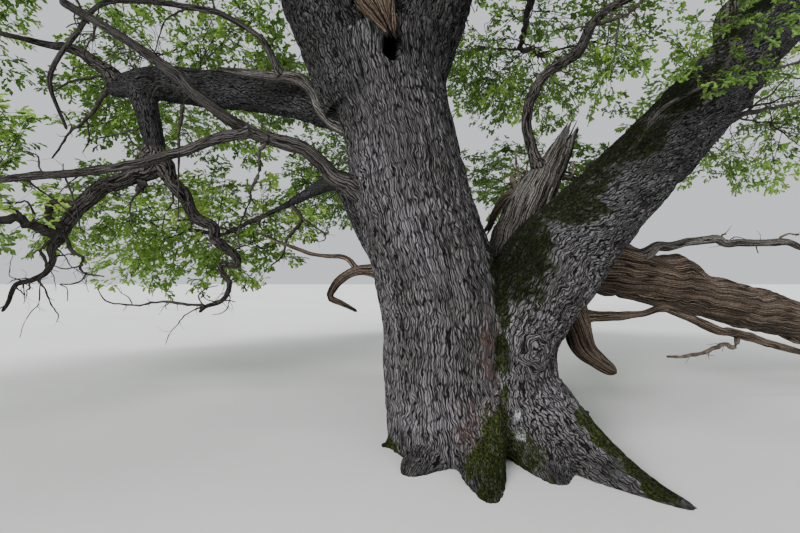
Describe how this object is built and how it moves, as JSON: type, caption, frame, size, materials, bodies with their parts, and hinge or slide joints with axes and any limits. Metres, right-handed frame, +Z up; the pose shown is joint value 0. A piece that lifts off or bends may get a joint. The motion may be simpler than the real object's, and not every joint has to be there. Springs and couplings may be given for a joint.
{
  "type": "oak tree",
  "caption": "Ancient spreading oak with a low-forked flared trunk, a great slanting bough, drooping branches, dead and fallen limbs and a wide leafy crown",
  "frame": {"origin": "middle of the trunk's foot at ground level, on its flat cut", "axes": "+Z up; +X to the viewer's right along the great slanting bough, the tree's longest extent; +Y away from the viewer"},
  "size_m": [18.8107, 14.0331, 12.0314],
  "materials": {
    "bark": "rough ridged grey-brown bark with dark fissures, mossy in the crotch and at the foot",
    "smooth_bark": "finely fissured grey bark of thin branches",
    "dead_wood": "bare weathered brown wood with long split grain",
    "foliage": "fresh green lobed leaves on thin brown twigs"
  },
  "bodies": {
    "root": {"trunk": "bark", "left_stem": "bark", "right_bough": "bark", "leader_left": "bark", "leader_right": "bark", "left_bough": "bark", "hanging_arm": "bark", "hanging_arm_left": "bark", "hanging_arm_right": "bark", "grey_branch": "smooth_bark", "grey_branch_low": "smooth_bark", "back_bough_left": "bark", "dead_spur": "dead_wood", "whip": "smooth_bark", "dead_crook": "dead_wood", "dead_crook_twig": "dead_wood", "broken_stump": "dead_wood", "stump_branch": "bark", "stump_spur": "dead_wood", "torn_tongue": "dead_wood", "fallen_limb": "dead_wood", "fallen_limb_branch": "dead_wood", "torn_hook": "dead_wood", "torn_hook_branch": "dead_wood", "bough_left_mid": "bark", "bough_left_far": "bark", "bough_left_front_high": "bark", "bough_back_left_low": "bark", "bough_back_mid": "bark", "bough_back_high": "bark", "bough_back_right": "bark", "bough_back_low_right": "bark", "bough_right_front": "bark", "bough_right_top": "bark", "bough_front_right_high": "bark", "bough_front_left_high": "bark", "bough_near_sprig": "bark", "foliage_left_low_front": "foliage", "foliage_left_low_back": "foliage", "foliage_left_mid": "foliage", "foliage_left_far": "foliage", "foliage_left_front_high": "foliage", "foliage_left_top": "foliage", "foliage_back_left_low": "foliage", "foliage_back_mid": "foliage", "foliage_back_high": "foliage", "foliage_back_right": "foliage", "foliage_back_low_right": "foliage", "foliage_right_far": "foliage", "foliage_right_front": "foliage", "foliage_right_top": "foliage", "foliage_front_right_high": "foliage", "foliage_front_left_high": "foliage", "foliage_top_mid": "foliage", "foliage_near_sprig": "foliage"}
  },
  "joints": []
}
